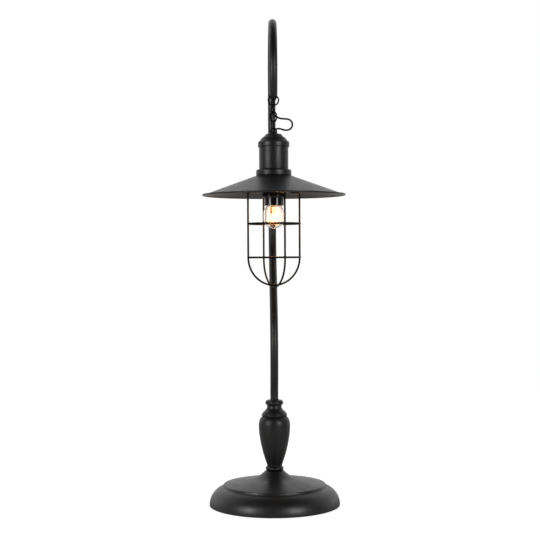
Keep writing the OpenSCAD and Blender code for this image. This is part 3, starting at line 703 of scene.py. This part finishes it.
def make_lantern(made):
    band_z, bore_r = -16.4, CUP_R - SPUN_WALL
    cap = ([(4.1, 0)] + cap_line(0) + arc((23.3, -19.4), 1, 0, -80, 5)
           + [(CUP_R + 0.1, -20.4), (CUP_R + 0.1, band_z), (bore_r, band_z)]
           + cap_line(SPUN_WALL)[::-1] + [(4.1, -SPUN_WALL)])
    body = [(CUP_R, -54), (CUP_R, band_z), (bore_r, band_z), (bore_r, -54)]
    flange = ([(17.3, 0), (26.8, 0), (27.4, 0.6)] + arc((25.2, 7), 2.2, 0, 90, 8)
              + [(23.7, 9.3), (22.3, 9.8), (22.3, 10.4), (21.4, 10.4), (21.4, 13.4),
                 (17.3, 13.4)])
    spin_lantern(made, "cup_cap", cap)
    spin_lantern(made, "cup_body", body)
    spin_lantern(made, "cup_flange", flange, SHADE_Z)
    spin_lantern(made, "shade", shade_outline(), SHADE_Z, 192)
    make_cage(made)
    make_bulb(made)


# ---- Studio, in metres, degrees and watts ----

BACKDROP_FADE = (-0.35, 0.7, 0.08, 0.95)
CEILING_FADE = (0.6, 1.0, 1.0, 0.25)
FLOOR_HALF_SIZE, FLOOR_GLOW = 1.6, 0.73
SOFTBOXES = (("left_box", -50, 20), ("right_box", 37, 19))
SOFTBOX_SIZE, SOFTBOX_DISTANCE, SOFTBOX_Z, SOFTBOX_AIM_Z = (0.8, 0.9), 2.3, 0.85, 0.45
BULB_WATTS, BULB_COLOUR, BULB_GLOW_R, BULB_GLOW_DROP = 1.4, (1.0, 0.5, 0.16), 0.0175, 18
LIT_BY_BULB = ("cage_", "shade", "socket", "spacer", "ring_nut", "screw_shell", "bulb", "glass",
               "filament")


def add_softbox(name, turn, watts):
    """A large soft light in front of the lamp, turned about the lantern and aimed at it."""
    data = bpy.data.lights.new(name, "AREA")
    data.shape, data.energy = "RECTANGLE", watts
    data.size, data.size_y = SOFTBOX_SIZE
    light = bpy.data.objects.new(name, data)
    light.location = (SOFTBOX_DISTANCE * sin(turn), HANG_Y * MM - SOFTBOX_DISTANCE * cos(turn),
                      SOFTBOX_Z)
    aim = Vector((0, HANG_Y * MM, SOFTBOX_AIM_Z)) - light.location
    light.rotation_euler = aim.to_track_quat("-Z", "Y").to_euler()
    bpy.context.collection.objects.link(light)


def add_bulb_glow():
    """The bulb's light on the lantern, seen only where it falls and where it reflects."""
    data = bpy.data.lights.new("bulb_glow", "POINT")
    data.energy, data.color, data.shadow_soft_size = BULB_WATTS, BULB_COLOUR, BULB_GLOW_R
    light = bpy.data.objects.new("bulb_glow", data)
    light.location = (0, HANG_Y * MM, (SOCKET_Z - BULB_GLOW_DROP) * MM)
    light.visible_transmission = light.visible_camera = False
    bpy.context.collection.objects.link(light)
    lit = bpy.data.collections.new("lit_by_bulb")
    for piece in bpy.context.collection.objects:
        if any(word in piece.name for word in LIT_BY_BULB):
            lit.objects.link(piece)
    light.light_linking.receiver_collection = lit


def make_world():
    """A backdrop that fades to a dim room in front, but is white to the camera and to glass."""
    world = bpy.data.worlds.new("studio")
    world.use_nodes = True
    tree = world.node_tree
    where = tree.nodes.new("ShaderNodeTexCoord")
    split = tree.nodes.new("ShaderNodeSeparateXYZ")
    tree.links.new(where.outputs["Generated"], split.inputs[0])
    behind = map_range(tree, split.outputs["Y"], *BACKDROP_FADE, "SMOOTHSTEP")
    overhead = map_range(tree, split.outputs["Z"], *CEILING_FADE, "SMOOTHSTEP")
    room = maths(tree, "MULTIPLY", behind, overhead)
    rays = tree.nodes.new("ShaderNodeLightPath").outputs
    seen = maths(tree, "MAXIMUM", rays["Is Camera Ray"], rays["Is Transmission Ray"])
    level = maths(tree, "MAXIMUM", room, seen)
    tree.links.new(level, tree.nodes["Background"].inputs["Color"])
    bpy.context.scene.world = world


def make_floor():
    """A matt white floor, lifted towards the backdrop's white for the camera alone."""
    bm = bmesh.new()
    bmesh.ops.create_grid(bm, x_segments=1, y_segments=1, size=FLOOR_HALF_SIZE)
    mesh = bpy.data.meshes.new("floor")
    bm.to_mesh(mesh)
    bm.free()
    floor = bpy.data.objects.new("floor", mesh)
    bpy.context.collection.objects.link(floor)
    s = Shader("white_floor")
    s.link(s.mix(s.noise(2, 2), (0.78, 0.78, 0.78), (0.80, 0.80, 0.80)), "Base Color")
    rays = s.tree.nodes.new("ShaderNodeLightPath").outputs
    s.link(maths(s.tree, "MULTIPLY", rays["Is Camera Ray"], FLOOR_GLOW), "Emission Strength")
    s.set(Roughness=0.9, Specular_IOR_Level=0.0, Emission_Color=(1, 1, 1, 1))
    mesh.materials.append(s.material)


def make_studio():
    make_world()
    make_floor()
    for box in SOFTBOXES:
        add_softbox(*box)
    add_bulb_glow()
    bpy.context.scene.view_settings.view_transform = "Standard"


set_camera()
materials = make_materials()
make_cord(materials)
make_stand(materials)
make_chain(materials)
make_lantern(materials)
make_studio()
